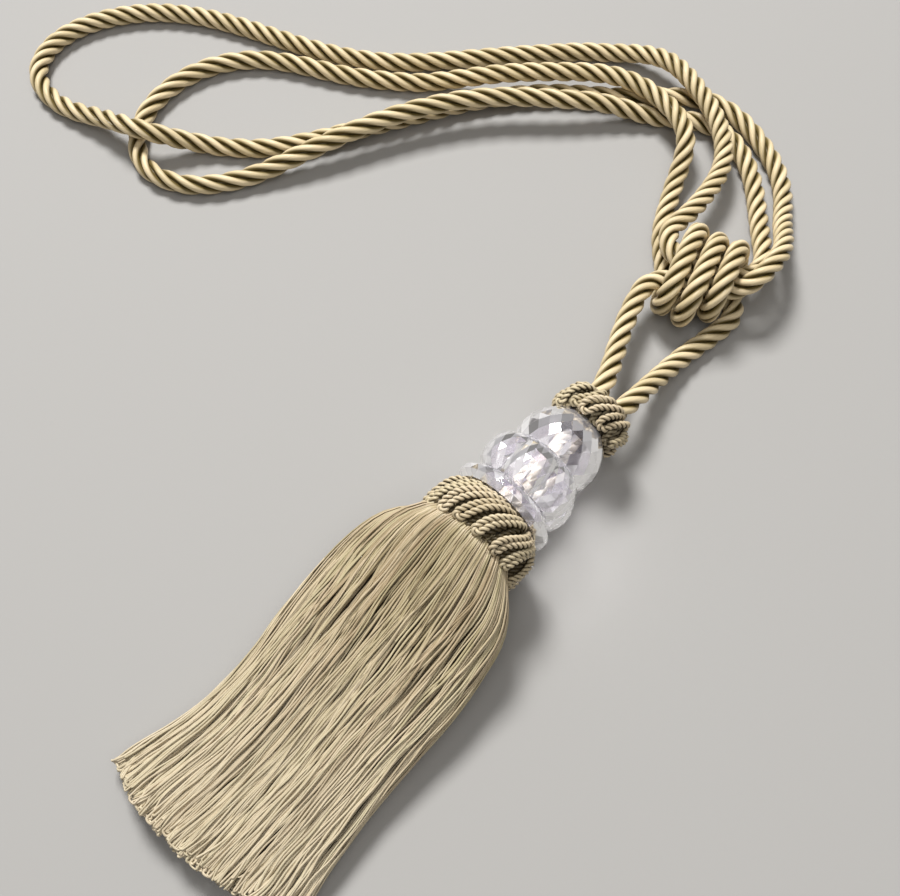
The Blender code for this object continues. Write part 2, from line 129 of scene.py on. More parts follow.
# ---- The head: its axis runs from the collar's mouth to the rosette ----
AXIS_START = np.array((1.5, 31.0, 22.7))
HEAD_TURN, HEAD_DROOP = math.radians(1.5), math.radians(2.0)
COLLAR_END, BASE_END, FLOWER_END, TOP_END = 16.0, 23.3, 41.4, 61.0
BORE_R, CORE_R = 6.8, 6.3
BEAD_GAP = 0.3
CORD_PLIES, CORD_SIDES = 2, 6
CORD_PLY_R, CORD_OFFSET, CORD_PITCH = 0.72, 0.62, 4.2
CORD_GAP = 3.1             # between two legs of the looped cord
CORD_LEG_POINTS, CORD_BEND_POINTS = 50, 13
CORD_SWAY = 0.8            # how far a loop wanders to its side
CORD_SHORT = 1.8           # how much sooner than another a loop may turn back
COLLAR_SLANT, ROSETTE_SLANT, ROSETTE_UNDER_SLANT = -0.55, -0.7, 0.2
CORE_START, CORE_END = 12.0, 68.1
CORE_TURN, CORE_PITCH = 0.6, 70.0          # the two ends' first angle, and their slow twist
CORE_STRAND_R, CORE_OFFSET, CORE_LAY = 1.35, 1.7, 13.0
LEAST_HEIGHT = 0.1         # how near the surface a ring or a bead may come

# ---- The skirt: y, middle x, half width, top z, bottom z, squareness, turn to the head ----
SKIRT_COLUMNS = ("y", "x", "half_w", "top", "bottom", "square", "to_head")
SKIRT_SECTIONS = np.array((
    (42.5, 1.8, 16.3, 38.6, 6.0, 2.0, 1.0),
    (37.0, 1.6, 17.3, 39.8, 5.2, 2.0, 1.0),
    (31.2, 1.5, 18.6, 41.3, 4.1, 2.0, 1.0),
    (29.6, 1.5, 20.2, 42.4, 2.6, 2.0, 1.0),
    (25.0, 1.0, 25.1, 40.4, 0.8, 2.05, 0.6),
    (17.0, 1.1, 30.2, 36.6, -0.6, 2.1, 0.2),
    (6.0, 1.1, 32.9, 31.0, -1.4, 2.15, 0.0),
    (-9.0, 1.5, 33.8, 26.6, -1.8, 2.2, 0.0),
    (-27.0, 1.9, 33.5, 23.0, -2.0, 2.25, 0.0),
    (-47.0, 2.4, 32.7, 20.0, -2.0, 2.3, 0.0),
    (-65.0, 2.4, 33.5, 17.8, -2.0, 2.35, 0.0),
    (-81.0, 1.4, 35.5, 16.0, -2.0, 2.4, 0.0),
    (-92.0, 0.6, 37.7, 14.8, -2.0, 2.45, 0.0),
    (-104.0, -0.2, 39.5, 13.6, -2.0, 2.5, 0.0),
))
SKIRT_LENGTH = SKIRT_SECTIONS[0, 0] - SKIRT_SECTIONS[-1, 0]
HEM_Y, FLARE_Y = -104.0, -65.0
HEM_HALF_W, HEM_CURVE, HEM_TILT = 39.5, 8.5, 2.2
HEM_ROUND = 160.0          # length round the skirt, to turn a shift in mm into a share of it
SKIN_ROWS, SKIN_COLUMNS = 160, 721         # the grid of the skirt's skin
YARN_R, YARN_SIDES = 0.37, 6
YARN_LEG_POINTS, YARN_BEND_POINTS = 43, 7
YARN_LOOP_R = 0.42         # half the gap between the two legs of a doubled yarn
YARN_LEAN = 2.0            # how far a yarn leans to its side over the whole skirt
SLOW_WAVE, QUICK_WAVE, DEPTH_WAVE = 0.5, 0.3, 0.5      # two to its side and one in and out
TIP_REACH, TIP_STRAY = 9.0, 0.9            # the last stretch of a yarn, and how far it strays
HEART_DEPTH, HEART_SHARE = 2.6, 0.93       # how far the heart lies in, and how far down it goes
HEART_ROWS, HEART_COLUMNS = 40, 120
FILL_COUNT = 430           # the yarns inside the hem
FILL_LEG_POINTS, FILL_BEND_POINTS = 4, 5
FILL_REACH = 14.0          # how far they run up into the skirt

# How yarns gather in clumps: sines of size mm, waves round the skirt, waves down it, phase.
CLUMPS = ((0.8, 27, 1.3, 0.4), (0.6, 41, -1.9, 2.1), (0.5, 58, 2.6, 4.0), (1.2, 11, -0.8, 1.0))

# Layers of doubled yarns: name, count, depth under the skin, from and to which share of the
# way round, how much painted shade darkens them, and the solid they stand for.
SKIRT_LAYERS = (
    ("skirt_deep", 110, 2.2, (0.0, 1.0), 1.0, ("skirt",)),
    ("skirt_middle", 120, 1.2, (-0.06, 0.56), 0.6, ()),
    ("skirt_outer", 120, 0.4, (-0.08, 0.58), 0.0, ()),
    ("skirt_stray", 9, -0.6, (0.38, 0.54), 0.0, ()),
    ("skirt_under", 50, 0.5, (0.58, 0.92), 0.0, ()),
)

SEED = 20


# ---------------------------------------------------------------- curves and surfaces

def unit(vectors):
    """Vectors divided by their own length."""
    return vectors / np.linalg.norm(vectors, axis=-1, keepdims=True)


def natural_spline(knots, values, at):
    """Reads the natural cubic spline through the values at the knots.

    Its second derivatives solve the usual tridiagonal system. Between two knots the curve
    is the cubic that takes both values and both second derivatives.
    """
    spans = np.diff(knots)
    size = len(knots)
    system, right = np.eye(size), np.zeros_like(values)
    slopes = np.diff(values, axis=0) / spans[:, None]
    inner = np.arange(1, size - 1)
    system[inner, inner - 1] = spans[:-1]
    system[inner, inner] = 2 * (spans[:-1] + spans[1:])
    system[inner, inner + 1] = spans[1:]
    right[1:-1] = 6 * np.diff(slopes, axis=0)
    bend = np.linalg.solve(system, right)
    span = np.clip(np.searchsorted(knots, at, side="right") - 1, 0, size - 2)
    width = spans[span][:, None]
    after = (at - knots[span])[:, None]
    before = width - after
    curve = (bend[span] * before ** 3 + bend[span + 1] * after ** 3) / (6 * width)
    curve += (values[span] / width - bend[span] * width / 6) * before
    curve += (values[span + 1] / width - bend[span + 1] * width / 6) * after
    return curve


def arc_lengths(lines):
    """Distance walked along each line up to each of its points."""
    steps = np.linalg.norm(np.diff(lines, axis=-2), axis=-1)
    walked = np.cumsum(steps, axis=-1)
    return np.concatenate((np.zeros_like(walked[..., :1]), walked), axis=-1)


def evenly(line, count):
    """The same line with its points spaced evenly along it."""
    walked = arc_lengths(line)
    at = np.linspace(0.0, walked[-1], count)
    return np.stack([np.interp(at, walked, line[:, axis]) for axis in range(3)], axis=-1)


def carried_frame(line):
    """Two directions square to the line that don't turn about it from ring to ring.

    Each ring's first direction is the one before it with the part along the new tangent
    taken away.
    """
    tangent = unit(np.gradient(line, axis=0))
    first = np.empty_like(line)
    guess = UP
    for ring, along in enumerate(tangent):
        guess = guess - along * (guess @ along)
        guess = guess / math.sqrt(guess @ guess)
        first[ring] = guess
    return first, np.cross(tangent, first)


def doubled(leg, bends):
    """A path down one leg, round a half circle of so many points and back up beside itself.

    leg falls from 1 towards 0 at the half circle. Returns, for every point, its height on
    its leg, how far behind the half circle's tip it lies (in radii, 1 on the legs), and its
    side, -1 on the first leg and 1 on the second.
    """
    bend = np.linspace(-math.pi / 2, math.pi / 2, bends)
    straight = np.ones_like(leg)
    height = np.concatenate((leg, np.zeros_like(bend), leg[::-1]))
    behind = np.concatenate((straight, 1.0 - np.cos(bend), straight))
    side = np.concatenate((-straight, np.sin(bend), straight))
    return height, behind, side


def noise_waves(rng, count, low, high):
    """Random frequencies, phases and shares for a sum of sines."""
    return rng.uniform(low, high, count), rng.uniform(0, TAU, count), rng.uniform(0.5, 1, count)


def wavy(waves, at):
    """A smooth random curve between about -1 and 1: 1.6 times a weighted mean of sines."""
    total = sum(share * np.sin(rate * at + phase) for rate, phase, share in zip(*waves))
    return total / np.sum(waves[2]) * 1.6


# ---------------------------------------------------------------- meshes

def grid_quads(steps, rows, columns):
    """Four-sided faces over a grid of rows whose columns close in a ring.

    So many steps from a row to the next are filled, and the next after the last row is the
    first. Returns the faces as point numbers, and the row and the column of each corner.
    """
    row, column = (grid.ravel() for grid in np.meshgrid(np.arange(steps), np.arange(columns),
                                                        indexing="ij"))
    corner_row = np.stack((row, row, row + 1, row + 1), axis=-1)
    corner_column = np.stack((column, column + 1, column + 1, column), axis=-1)
    return corner_row % rows * columns + corner_column % columns, corner_row, corner_column


def end_fans(rows, columns):
    """Three-sided faces from the first and the last row to the two points after the grid."""
    edge, last, tip = np.arange(columns), (rows - 1) * columns, rows * columns
    after = (edge + 1) % columns
    return np.concatenate((np.stack((np.full(columns, tip), after, edge), axis=-1),
                           np.stack((np.full(columns, tip + 1), last + edge, last + after), axis=-1)))


def tube_shells(lines, radii, inward, sides, tone=0.5, painted_shade=0.0):
    """Closed tubes along many lines at once.

    lines is (tubes, rings, 3). A ring is a circle square to its line. inward is a direction
    for every ring, and depth is how far a point of the circle looks that way: 0 at the crest
    that faces away from it, 1 at the foot; the finishes paint shade by it. painted_shade is 1
    where a ring lies deep under others, and darkens it there as painted shade.
    Both ends close on a point. Returns a dict with the vertices, the faces, the corner UVs
    (metres along, turns round) and three attributes.
    """
    tubes, rings = lines.shape[:2]
    painted_shade = np.broadcast_to(painted_shade, (tubes, rings))
    tangent = unit(np.gradient(lines, axis=1))
    first = unit(np.cross(tangent, inward))
    second = np.cross(tangent, first)
    turn = TAU * np.arange(sides) / sides
    spoke = np.cos(turn)[:, None] * first[:, :, None] + np.sin(turn)[:, None] * second[:, :, None]
    rim = lines[:, :, None] + radii[:, :, None, None] * spoke
    ends = lines[:, (0, -1)] + tangent[:, (0, -1)] * radii[:, (0, -1), None] * ((-0.5,), (0.5,))
    vertices = np.concatenate((rim.reshape(tubes, -1, 3), ends), axis=1)
    depth = 0.5 + 0.5 * (spoke * unit(inward)[:, :, None]).sum(axis=-1)
    depth = np.concatenate((depth.reshape(tubes, -1), np.full((tubes, 2), 0.5)), axis=1)

    quads, corner_ring, corner_side = grid_quads(rings - 1, rings, sides)
    caps = end_fans(rings, sides)
    start = (np.arange(tubes) * vertices.shape[1])[:, None, None]

    along = arc_lengths(lines)
    corner_side = np.broadcast_to(corner_side / sides, (tubes, *corner_side.shape))
    quad_uv = np.stack((along[:, corner_ring], corner_side), axis=-1)
    edge = np.arange(sides)
    cap_side = np.stack((edge + 0.5, edge + 1, edge), axis=-1) / sides
    cap_uv = np.zeros((tubes, 2 * sides, 3, 2))
    cap_uv[:, :sides, :, 1] = cap_side
    cap_uv[:, sides:, :, 1] = cap_side[:, (0, 2, 1)]
    cap_uv[:, sides:, :, 0] = along[:, -1, None, None]
    painted_shade = np.concatenate((np.repeat(painted_shade, sides, axis=1), painted_shade[:, (0, -1)]), axis=1)
    return {
        "vertices": vertices.reshape(-1, 3),
        "faces": [(quads + start).reshape(-1, 4), (caps + start).reshape(-1, 3)],
        "uv": [quad_uv.reshape(-1, 2), cap_uv.reshape(-1, 2)],
        "depth": depth.ravel(),
        "tone": np.repeat(np.broadcast_to(tone, tubes), vertices.shape[1]),
        "painted_shade": painted_shade.ravel(),
    }


def closed_grid(points, close_rows):
    """A closed shell over a grid of points (rows, columns, 3) whose columns close in a ring.

    With close_rows the last row joins the first, as on a ring. Otherwise each end row is
    filled by a fan to its own middle. Faces look outwards where the rows advance along a
    right-handed screw about the columns' turn.
    """
    rows, columns = points.shape[:2]
    vertices = points.reshape(-1, 3)
    quads, corner_row, corner_column = grid_quads(rows if close_rows else rows - 1, rows, columns)
    faces = [quads]
    uv = [np.stack((corner_row / rows, corner_column / columns), axis=-1).reshape(-1, 2)]
    if not close_rows:
        faces.append(end_fans(rows, columns))
        uv.append(np.zeros((6 * columns, 2)))
        middles = np.stack((points[0].mean(axis=0), points[-1].mean(axis=0)))
        vertices = np.concatenate((vertices, middles))
    return plain_shell(vertices, faces, uv)


def plain_shell(vertices, faces, uv):
    """A shell whose attributes are the same all over."""
    same = np.full(len(vertices), 0.5)
    return {"vertices": vertices, "faces": faces, "uv": uv, "depth": same, "tone": same,
            "painted_shade": same}


def mesh_piece(name, shells, look, replaces=(), flat=False):
    """One piece from one or more shells: joined arrays, a UV map and three attributes."""
    starts = np.cumsum([0] + [len(shell["vertices"]) for shell in shells])
    vertices = np.concatenate([shell["vertices"] for shell in shells])
    faces, uvs = [], []
    for shell, start in zip(shells, starts):
        faces += [block + start for block in shell["faces"]]
        uvs += shell["uv"]
    corners = np.concatenate([block.ravel() for block in faces])
    sizes = np.concatenate([np.full(len(block), block.shape[1]) for block in faces])
    mesh = bpy.data.meshes.new(name)
    mesh.vertices.add(len(vertices))
    mesh.vertices.foreach_set("co", vertices.astype(np.float32).ravel())
    mesh.loops.add(len(corners))
    mesh.loops.foreach_set("vertex_index", corners.astype(np.int32))
    mesh.polygons.add(len(sizes))
    mesh.polygons.foreach_set("loop_start", (np.cumsum(sizes) - sizes).astype(np.int32))
    mesh.update(calc_edges=True)
    layer = mesh.uv_layers.new(name="lay")
    layer.data.foreach_set("uv", np.concatenate(uvs).astype(np.float32).ravel())
    for attribute in ("depth", "tone", "painted_shade"):
        values = np.concatenate([shell[attribute] for shell in shells])
        made = mesh.attributes.new(attribute, "FLOAT", "POINT")
        made.data.foreach_set("value", values.astype(np.float32))
    mesh.polygons.foreach_set("use_smooth", np.full(len(sizes), not flat))
    mesh.validate()
    mesh.materials.append(look)
    piece = bpy.data.objects.new(name, mesh)
    bpy.context.scene.collection.objects.link(piece)
    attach(piece, "root")
    if replaces:
        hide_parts(*replaces)
    return piece


# ---------------------------------------------------------------- materials

class Finish:
    """A Principled material and short ways to add nodes to it."""

    def __init__(self, name, **settings):
        self.material = bpy.data.materials.new(name)
        self.material.use_nodes = True
        self.tree = self.material.node_tree
        self.shader = self.tree.nodes["Principled BSDF"]
        for setting, value in settings.items():
            socket = setting.replace("_", " ").title().replace("Ior", "IOR")
            self.shader.inputs[socket].default_value = value

    def node(self, kind, inputs=None, **settings):
        """Adds a node, sets its fields, and sets or links its inputs."""
        made = self.tree.nodes.new("ShaderNode" + kind)
        for field, value in settings.items():
            setattr(made, field, value)
        for socket, value in (inputs or {}).items():
            if isinstance(value, bpy.types.NodeSocket):
                self.tree.links.new(value, made.inputs[socket])
            else:
                made.inputs[socket].default_value = value
        return made

    def math(self, operation, first, second=0.0, third=0.0):
        """One Math node, and its result."""
        return self.node("Math", {0: first, 1: second, 2: third}, operation=operation).outputs[0]

    def between(self, share, low, high):
        """A colour between two, by the share."""
        mixed = self.node("Mix", {0: share, 6: (*low, 1.0), 7: (*high, 1.0)}, data_type="RGBA")
        return mixed.outputs[2]

    def attribute(self, name):
        """A value that the mesh carries."""
        return self.node("Attribute", attribute_name=name).outputs["Fac"]

    def ranged(self, value, low, high, to_low, to_high):
        """A value moved from one range to another, and held there."""
        return self.node("MapRange", {0: value, 1: low, 2: high, 3: to_low, 4: to_high}).outputs[0]


def fibre_lines(finish, along, around, lean):
    """Noise drawn out along a yarn: its fibres, leaning by so many turns per metre."""
    split = finish.node("SeparateXYZ", {0: finish.node("UVMap", uv_map="lay").outputs[0]})
    length, turns = split.outputs[0], split.outputs[1]
    across = finish.math("MULTIPLY", finish.math("MULTIPLY_ADD", length, lean, turns), around)
    tone = finish.math("MULTIPLY", finish.attribute("tone"), 57.0)
    place = finish.node("CombineXYZ", {0: finish.math("MULTIPLY", length, along), 1: across, 2: tone})
    return finish.node("TexNoise", {"Vector": place.outputs[0], "Scale": 1.0, "Detail": 3.0,
                                    "Roughness": 0.6}).outputs[0]


def yarn_finish(name, groove_shade, body, crest, shade_depths, fibres, hues, gloss=0.35):
    """Satin yarn: painted shade in its grooves, lighter crests, fibres and a tone of its own.

    shade_depths is the depth where the groove's painted shade, the colour groove_shade, begins
    and where it is darkest; painted_shade darkens the yarn further. fibres is how many lines
    there are along and round the yarn, and how they lean. From body to crest it gets paler
    with 0.7 of its tone, and by up to 0.35 on a fibre. By the share hues it also turns to a
    rosy or a greenish beige. More gloss makes it smoother as well.
    """
    finish = Finish(name, roughness=0.45 - 0.25 * gloss, specular_ior_level=gloss)
    lines = fibre_lines(finish, *fibres)
    tone = finish.attribute("tone")
    # Painted shade: the groove colour where the surface looks in, and more of it where painted_shade is
    # high.
    in_light = finish.ranged(finish.attribute("depth"), *shade_depths, 1.0, 0.0)
    in_light = finish.math("MULTIPLY", in_light,
                           finish.ranged(finish.attribute("painted_shade"), 0.0, 1.0, 1.0, 0.1))
    paler = finish.math("ADD", finish.math("MULTIPLY_ADD", tone, 0.7, -0.05),
                        finish.ranged(lines, 0.35, 0.65, 0.0, 0.35))
    hue = finish.between(finish.math("FRACT", finish.math("MULTIPLY", tone, 7.3)),
                         (1.0, 0.93, 0.90), (0.95, 1.0, 0.86))
    toned = finish.node("Mix", {0: hues, 6: finish.between(paler, body, crest), 7: hue},
                        data_type="RGBA", blend_type="MULTIPLY").outputs[2]
    colour = finish.node("Mix", {0: in_light, 6: (*groove_shade, 1.0), 7: toned}, data_type="RGBA")
    finish.tree.links.new(colour.outputs[2], finish.shader.inputs["Base Color"])
    raised = finish.node("Bump", {"Height": lines, "Strength": 0.6, "Distance": FIBRE_HEIGHT})
    finish.tree.links.new(raised.outputs[0], finish.shader.inputs["Normal"])
    return finish


def rope_yarn():
    """The rope's strands: pale satin crests over wide olive painted shade in the grooves."""
    return yarn_finish("rope_yarn", groove_shade=(0.15, 0.108, 0.034), body=(0.64, 0.515, 0.315),
                       crest=(0.84, 0.69, 0.46), shade_depths=(0.08, 0.42),
                       fibres=(200.0, 14.0, 60.0), hues=0.35, gloss=0.25).material


def core_yarn():
    """The rope's yarn inside the clear beads, paler with painted light that comes through them."""
    return yarn_finish("core_yarn", groove_shade=(0.22, 0.19, 0.12), body=(0.60, 0.56, 0.43),
                       crest=(0.84, 0.81, 0.68), shade_depths=(0.35, 0.8),
                       fibres=(260.0, 11.0, 60.0), hues=0.3).material


def cord_yarn():
    """The fine twisted cord of the collar and the rosette."""
    return yarn_finish("cord_yarn", groove_shade=(0.048, 0.031, 0.009), body=(0.47, 0.38, 0.235),
                       crest=(0.71, 0.60, 0.42), shade_depths=(0.14, 0.50),
                       fibres=(500.0, 9.0, 150.0), hues=0.3).material


def skirt_yarn():
    """The skirt's yarn, paler towards the hem by painted light, where it hangs loose and light
    passes through.
    """
    finish = yarn_finish("skirt_yarn", groove_shade=(0.060, 0.037, 0.008), body=(0.37, 0.295, 0.175),
                         crest=(0.65, 0.55, 0.39), shade_depths=(0.42, 0.82),
                         fibres=(180.0, 5.0, 90.0), hues=0.65)
    colour = finish.shader.inputs["Base Color"]
    along = finish.node("SeparateXYZ", {0: finish.node("TexCoord").outputs["Object"]}).outputs[1]
    # Painted light: the colour turns up to 0.45 of the way to a pale beige from y 0 down to -80 mm.
    painted_hem_light = finish.ranged(along, 0.0, -0.08, 0.0, 0.45)
    below = {0: painted_hem_light, 6: colour.links[0].from_socket, 7: (0.69, 0.605, 0.45, 1.0)}
    paler = finish.node("Mix", below, data_type="RGBA").outputs[2]
    finish.tree.links.new(paler, colour)
    return finish.material


def painted_shade_yarn():
    """Yarn deep inside the skirt, the collar and the rosette, near black as painted shade, for
    little light comes there.
    """
    finish = Finish("painted_shade_yarn", roughness=0.8)
    place = finish.node("Mapping", {"Vector": finish.node("TexCoord").outputs["Object"],
                                    "Scale": (900.0, 60.0, 900.0)})
    streaks = finish.node("TexNoise", {"Vector": place.outputs[0], "Scale": 1.0, "Detail": 3.0})
    colour = finish.between(finish.ranged(streaks.outputs[0], 0.3, 0.7, 0.0, 1.0),
                            (0.016, 0.010, 0.004), (0.06, 0.042, 0.018))
    finish.tree.links.new(colour, finish.shader.inputs["Base Color"])
    return finish.material


def clear_bead():
    """Clear bead, faintly lavender and a little milky, each facet with a tint of its own.

    It throws only a thin shadow, as clear plastic does.
    """
    finish = Finish("clear_bead", roughness=0.03, ior=1.45, specular_ior_level=0.6)
    scuffs = finish.node("TexNoise", {"Vector": finish.node("TexCoord").outputs["Object"],
                                      "Scale": 420.0, "Detail": 4.0}).outputs[0]
    facet = finish.attribute("facet")
    links = finish.tree.links
    links.new(finish.between(facet, (0.85, 0.81, 0.92), (1.0, 0.985, 1.0)),
              finish.shader.inputs["Base Color"])
    links.new(finish.ranged(scuffs, 0.4, 0.75, 0.01, 0.07), finish.shader.inputs["Roughness"])
    links.new(finish.ranged(facet, 0.0, 1.0, 1.0, 0.68), finish.shader.inputs["Transmission Weight"])
    shade = finish.node("LightPath").outputs["Is Shadow Ray"]
    links.new(finish.ranged(shade, 0.0, 1.0, 1.0, 0.12), finish.shader.inputs["Alpha"])
    return finish.material


def pale_floor():
    """Plain pale floor."""
    return Finish("pale_floor", base_color=FLOOR_COLOUR, roughness=0.75).material


# ---------------------------------------------------------------- camera, floor and light

def camera():
    """The camera at the viewing angle the tassel is meant to be seen from."""
    level = math.cos(ELEVATION)
    back = np.array((math.sin(AZIMUTH) * level, -math.cos(AZIMUTH) * level, math.sin(ELEVATION)))
    lens = bpy.data.cameras.new("camera")
    lens.lens, lens.sensor_width = LENS, SENSOR
    seat = bpy.data.objects.new("camera", lens)
    seat.location = AIM + DISTANCE * back
    seat.rotation_euler = (math.pi / 2 - ELEVATION, 0.0, AZIMUTH)
    bpy.context.scene.collection.objects.link(seat)
    bpy.context.scene.camera = seat


def lamp(name, place, size, power):
    """A square soft light at a place, aimed where the camera looks."""
    light = bpy.data.lights.new(name, "AREA")
    light.size, light.energy = size, power
    seat = bpy.data.objects.new(name, light)
    seat.location = place
    away = seat.location - Vector(AIM)
    seat.rotation_euler = away.to_track_quat("Z", "Y").to_euler()
    bpy.context.scene.collection.objects.link(seat)


def studio():
    """A pale floor, a soft light high on the tassel's left, a weak one above and a dim room."""
    mesh = bpy.data.meshes.new("floor")
    half = FLOOR_HALF
    corners = [(-half, -half, 0), (half, -half, 0), (half, half, 0), (-half, half, 0)]
    mesh.from_pydata(corners, [], [(0, 1, 2, 3)])
    mesh.materials.append(pale_floor())
    floor = bpy.data.objects.new("floor", mesh)
    bpy.context.scene.collection.objects.link(floor)
    lamp("key", *KEY_LAMP)
    lamp("overhead", *OVERHEAD_LAMP)
    world = bpy.data.worlds.new("soft_room")
    world.use_nodes = True
    room = world.node_tree.nodes["Background"]
    room.inputs["Color"].default_value = ROOM_COLOUR
    room.inputs["Strength"].default_value = ROOM_LIGHT
    bpy.context.scene.world = world
    bpy.context.scene.view_settings.view_transform = "Standard"


# ---------------------------------------------------------------- rope

def knot_strand(side):
    """Three points of one inner strand of the knot, on the side given by -1 or 1."""
    points = []
    for along, middle, apart, rise in STRAND_PLACES:
        across = middle + side * apart
        points.append(KNOT + along * KNOT_ALONG + across * KNOT_ACROSS - side * rise * UP)
    return points


def wraps():
    """The knot's wraps: a flattened helix round the two inner strands, from floor to floor.

    Over each half turn, from one of WRAP_SIDES to the next, the distance along grows
    evenly, the distance across follows a cosine to the power WRAP_SQUARE, and the height
    such a sine, over the strands and under them in turn.
    """
    sides = np.array(WRAP_SIDES)
    steps = (len(sides) - 2) * HALF_WRAP_POINTS
    turned_by = 0.5 + np.arange(steps + 1) / HALF_WRAP_POINTS
    half = np.minimum(turned_by.astype(int), len(sides) - 2)
    share = turned_by - half
    here, there = sides[half], sides[half + 1]
    cosine, sine = np.cos(math.pi * share), np.sin(math.pi * share)
    swing = np.sign(cosine) * np.abs(cosine) ** WRAP_SQUARE
    across = (here[:, 0] + there[:, 0]) / 2 + (here[:, 0] - there[:, 0]) / 2 * swing
    along = here[:, 1] + (there[:, 1] - here[:, 1]) * share
    up = -WRAP_HALF_H * (-1.0) ** half * np.abs(sine) ** WRAP_SQUARE
    return list(KNOT + np.outer(along, KNOT_ALONG) + np.outer(across, WRAP_ACROSS)
                + np.outer(up, UP))


def rope_line():
    """The rope's centreline: a smooth curve through its whole route, evenly read, in metres."""
    route = np.array(
        [*LEFT_LEG, *knot_strand(-1), *OUTER_LOOP, *knot_strand(1), *INNER_LOOP, *wraps(),
         *RIGHT_LEG], dtype=float)
    knots = np.concatenate(([0.0], np.cumsum(np.linalg.norm(np.diff(route, axis=0), axis=1))))
    read = natural_spline(knots, route, np.arange(0.0, knots[-1], ROPE_READ))
    read[:, 2] = np.maximum(read[:, 2], ROPE_R)
    length = arc_lengths(read)[-1]
    return evenly(read, round(length / ROPE_RINGS)) * MM


def rope(look):
    """Four strands wound right-handed about the centreline.

    Strand k stands off the centreline by STRAND_OFFSET at the angle 2 pi (w + k) / 4, where
    w counts the strands passed: the sum of each step over the spacing of the lay there.
    """
    line = rope_line()
    first, second = carried_frame(line)
    walked = arc_lengths(line)
    spacing = np.interp(walked / MM, ROPE_LAY[:, 0], ROPE_LAY[:, 1])
    passed = np.cumsum(np.gradient(walked / MM) / spacing)
    turn = TAU * (passed + np.arange(ROPE_STRANDS)[:, None]) / ROPE_STRANDS
    out = np.cos(turn)[..., None] * first + np.sin(turn)[..., None] * second
    strands = line + STRAND_OFFSET * MM * out
    strands[..., 2] = np.maximum(strands[..., 2], STRAND_R * MM)
    radii = np.full(strands.shape[:2], STRAND_R * MM)
    shell = tube_shells(strands, radii, -out, STRAND_SIDES, np.linspace(*STRAND_TONES, ROPE_STRANDS))
    heart_radii = np.full((1, len(line)), HEART_R * MM)
    # The heart carries full painted shade, for the shaded gap between the strands.
    heart = tube_shells(line[None], heart_radii, -first[None], HEART_SIDES, 0.2, 1.0)
    piece = mesh_piece("rope", [shell, heart], look,
                       ("rope_leg_left", "rope_outer_loop", "rope_inner_loop", "rope_knot",
                        "rope_leg_right"))


# ---------------------------------------------------------------- head

def head_point(radius, turn, station):
    """A point about the head's axis, in metres: turn 0 is at the side, a quarter is on top."""
    along = np.array((math.sin(HEAD_TURN) * math.cos(HEAD_DROOP),
                      math.cos(HEAD_TURN) * math.cos(HEAD_DROOP), -math.sin(HEAD_DROOP)))
    side = np.array((math.cos(HEAD_TURN), -math.sin(HEAD_TURN), 0.0))
    top = np.cross(side, along)
    radius, turn, station = np.broadcast_arrays(radius, turn, station)
    place = AXIS_START + station[..., None] * along
    place = place + (radius * np.cos(turn))[..., None] * side
    return (place + (radius * np.sin(turn))[..., None] * top) * MM


def head_ring(name, profile, columns, look, replaces):
    """A smooth ring about the head's axis: a closed profile of (radius, station) carried round."""
    rows = np.array(profile, dtype=float)
    turn = TAU * np.arange(columns) / columns + np.zeros((len(rows), 1))
    points = head_point(rows[:, :1], turn, rows[:, 1:2])
    points[..., 2] = np.maximum(points[..., 2], LEAST_HEIGHT * MM)
    return mesh_piece(name, [closed_grid(points, True)], look, replaces)


def cut_bead(name, outside, columns, look, replaces, wave=None):
    """A bead cut in diamond facets, with a straight bore.

    outside is an odd number of rows (radius, station). Every other row is turned by half a
    column, and each diamond takes two points of its own row and one of the row on each side.
    wave(turn, share) may scale the radius, share being a third number in the row.
    """
    rows = np.array(outside, dtype=float)
    size = len(rows)
    rows = np.concatenate((rows, [(BORE_R, rows[-1, 1], 0.0)[:rows.shape[1]],
                                  (BORE_R, rows[0, 1], 0.0)[:rows.shape[1]]]))
    shift = np.where(np.arange(size + 2) < size, np.arange(size + 2) % 2, 0)
    turn = TAU * (np.arange(columns) + 0.5 * shift[:, None]) / columns
    radius = rows[:, :1] * (wave(turn, rows[:, 2:3]) if wave else np.ones(columns))
    points = head_point(radius, turn, rows[:, 1:2])
    points[..., 2] = np.maximum(points[..., 2], LEAST_HEIGHT * MM)
    column = np.arange(columns)
    beside = (column + 1) % columns

    def at(row, columns_at):
        """The numbers of a row's points at some of its columns."""
        return row * columns + columns_at

    def between(row):
        """The column that lies halfway between a column and the next, on the rows beside."""
        return beside if row % 2 else column

    quads = [np.stack((at(row, column), at(row - 1, between(row)), at(row, beside),
                       at(row + 1, between(row))), axis=-1) for row in range(1, size - 1)]
    for row, after in ((size - 1, size), (size, size + 1), (size + 1, 0)):
        quads.append(np.stack((at(row, column), at(row, beside), at(after, beside),
                               at(after, column)), axis=-1))
    last = size - 1
    corners = [np.stack((at(0, column), at(0, beside), at(1, between(0))), axis=-1),
               np.stack((at(last, column), at(last - 1, between(last)), at(last, beside)), axis=-1)]
    faces = [np.concatenate(quads), np.concatenate(corners)]
    shell = plain_shell(points.reshape(-1, 3), faces, [np.zeros((block.size, 2)) for block in faces])
    piece = mesh_piece(name, [shell], look, replaces, flat=True)
    facet = piece.data.attributes.new("facet", "FLOAT", "FACE")
    tints = np.random.default_rng(columns).uniform(0, 1, len(piece.data.polygons))
    facet.data.foreach_set("value", tints.astype(np.float32))
    return piece


